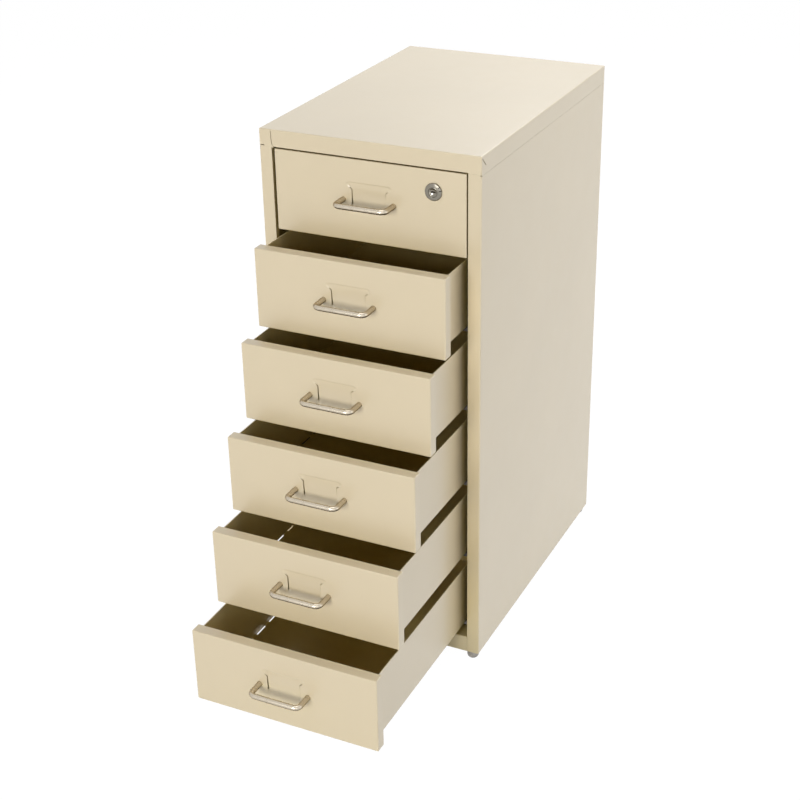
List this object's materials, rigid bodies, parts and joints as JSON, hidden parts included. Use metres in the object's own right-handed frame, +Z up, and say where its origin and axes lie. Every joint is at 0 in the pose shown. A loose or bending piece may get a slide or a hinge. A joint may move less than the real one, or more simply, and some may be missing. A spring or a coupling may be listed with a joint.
{
  "type": "small metal drawer cabinet",
  "caption": "Narrow upright cabinet in folded painted sheet steel, with equal drawers on runners, bow handles, pressed label pockets and a cam lock on the top drawer.",
  "frame": {"origin": "on the floor, at the middle of the space taken up by the cabinet with its drawers drawn out as at rest: halfway between the two sides, and halfway between the foremost handle and the rear screw heads", "axes": "+X towards the cabinet's right side as seen from the front, where the lock is; +Y towards its back, so the drawers draw out along -Y; +Z up, square to the top panel"},
  "size_m": [0.28, 0.689, 0.671],
  "materials": {
    "paint": "satin cream powder coat",
    "handle_steel": "satin nickel",
    "lock_chrome": "dull chrome plate",
    "runner_steel": "zinc plate",
    "screw_zinc": "zinc plate",
    "glide_plastic": "grey nylon",
    "foot_plastic": "pale polythene"
  },
  "bodies": {
    "cabinet": {"top_panel": "paint", "left_side_panel": "paint", "right_side_panel": "paint", "back_panel": "paint", "base_pan": "paint", "feet": "foot_plastic", "back_screws": "screw_zinc", "base_screws": "screw_zinc", "runners_1": "runner_steel", "runners_2": "runner_steel", "runners_3": "runner_steel", "runners_4": "runner_steel", "runners_5": "runner_steel", "runners_6": "runner_steel", "front_glides_1": "glide_plastic", "front_glides_2": "glide_plastic", "front_glides_3": "glide_plastic", "front_glides_4": "glide_plastic", "front_glides_5": "glide_plastic", "front_glides_6": "glide_plastic"},
    "drawer_1": {"drawer_front_1": "paint", "tray_1": "paint", "handle_1": "handle_steel", "handle_screws_1": "screw_zinc", "rear_glides_1": "glide_plastic", "lock_body": "lock_chrome", "lock_nut": "screw_zinc"},
    "drawer_2": {"drawer_front_2": "paint", "tray_2": "paint", "handle_2": "handle_steel", "handle_screws_2": "screw_zinc", "rear_glides_2": "glide_plastic"},
    "drawer_3": {"drawer_front_3": "paint", "tray_3": "paint", "handle_3": "handle_steel", "handle_screws_3": "screw_zinc", "rear_glides_3": "glide_plastic"},
    "drawer_4": {"drawer_front_4": "paint", "tray_4": "paint", "handle_4": "handle_steel", "handle_screws_4": "screw_zinc", "rear_glides_4": "glide_plastic"},
    "drawer_5": {"drawer_front_5": "paint", "tray_5": "paint", "handle_5": "handle_steel", "handle_screws_5": "screw_zinc", "rear_glides_5": "glide_plastic"},
    "drawer_6": {"drawer_front_6": "paint", "tray_6": "paint", "handle_6": "handle_steel", "handle_screws_6": "screw_zinc", "rear_glides_6": "glide_plastic"},
    "lock_turner": {"lock_plug": "lock_chrome", "lock_cam": "screw_zinc", "cam_screw": "screw_zinc"}
  },
  "joints": [
    {"name": "drawer_1_slide", "type": "slide", "parent": "cabinet", "child": "drawer_1", "axis": [0, -1, 0], "range_m": [0, 0.3085]},
    {"name": "drawer_2_slide", "type": "slide", "parent": "cabinet", "child": "drawer_2", "axis": [0, -1, 0], "range_m": [-0.057, 0.2515]},
    {"name": "drawer_3_slide", "type": "slide", "parent": "cabinet", "child": "drawer_3", "axis": [0, -1, 0], "range_m": [-0.099, 0.2095]},
    {"name": "drawer_4_slide", "type": "slide", "parent": "cabinet", "child": "drawer_4", "axis": [0, -1, 0], "range_m": [-0.143, 0.1655]},
    {"name": "drawer_5_slide", "type": "slide", "parent": "cabinet", "child": "drawer_5", "axis": [0, -1, 0], "range_m": [-0.191, 0.1175]},
    {"name": "drawer_6_slide", "type": "slide", "parent": "cabinet", "child": "drawer_6", "axis": [0, -1, 0], "range_m": [-0.25, 0.0585]},
    {"name": "lock_turn", "type": "hinge", "parent": "drawer_1", "child": "lock_turner", "pos_m": [0.0823, -0.06728, 0.6233], "axis": [0, 1, 0], "range_deg": [0, 90]}
  ]
}
